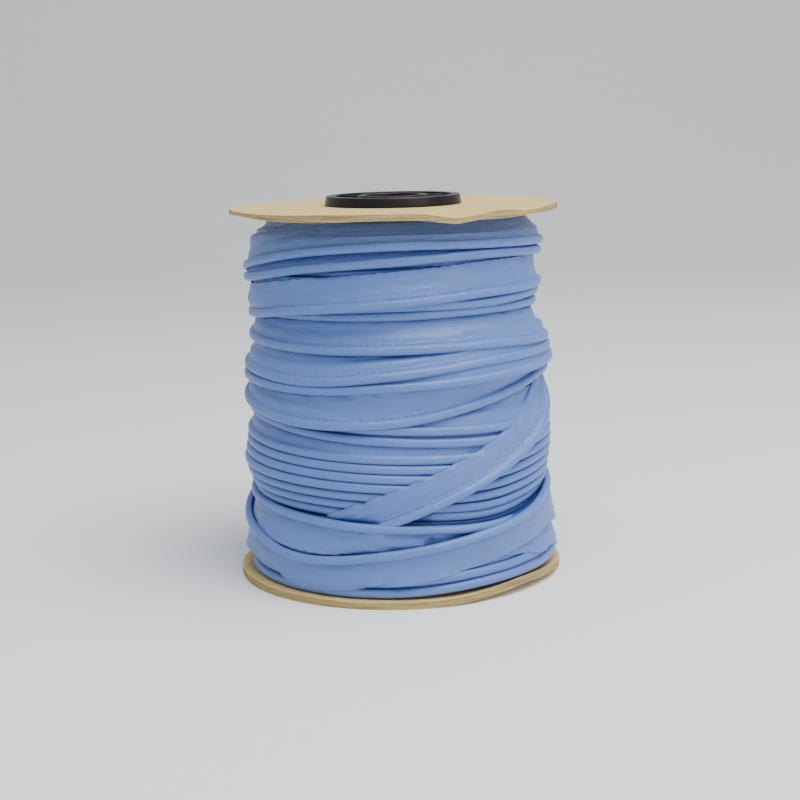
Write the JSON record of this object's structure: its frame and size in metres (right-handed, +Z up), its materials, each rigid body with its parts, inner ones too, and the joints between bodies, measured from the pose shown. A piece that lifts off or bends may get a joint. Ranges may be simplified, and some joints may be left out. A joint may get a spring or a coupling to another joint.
{
  "type": "roll of satin piping on a cardboard reel",
  "caption": "Pale blue satin piping, a corded edge trim for sewing, wound in uneven bands on a cardboard reel with a black plastic hub.",
  "frame": {"origin": "middle of the lower disc's underside, on the surface that the roll stands on", "axes": "+Z up along the reel's axis, -Y towards the front of the picture, +X to its right"},
  "size_m": [0.12, 0.12, 0.139],
  "materials": {
    "kraft_cardboard": "matte",
    "blue_satin": "satin",
    "black_plastic": "satin"
  },
  "bodies": {
    "root": {"flange_bottom": "kraft_cardboard", "winding": "blue_satin", "flange_top": "kraft_cardboard", "hub": "black_plastic"}
  },
  "joints": []
}
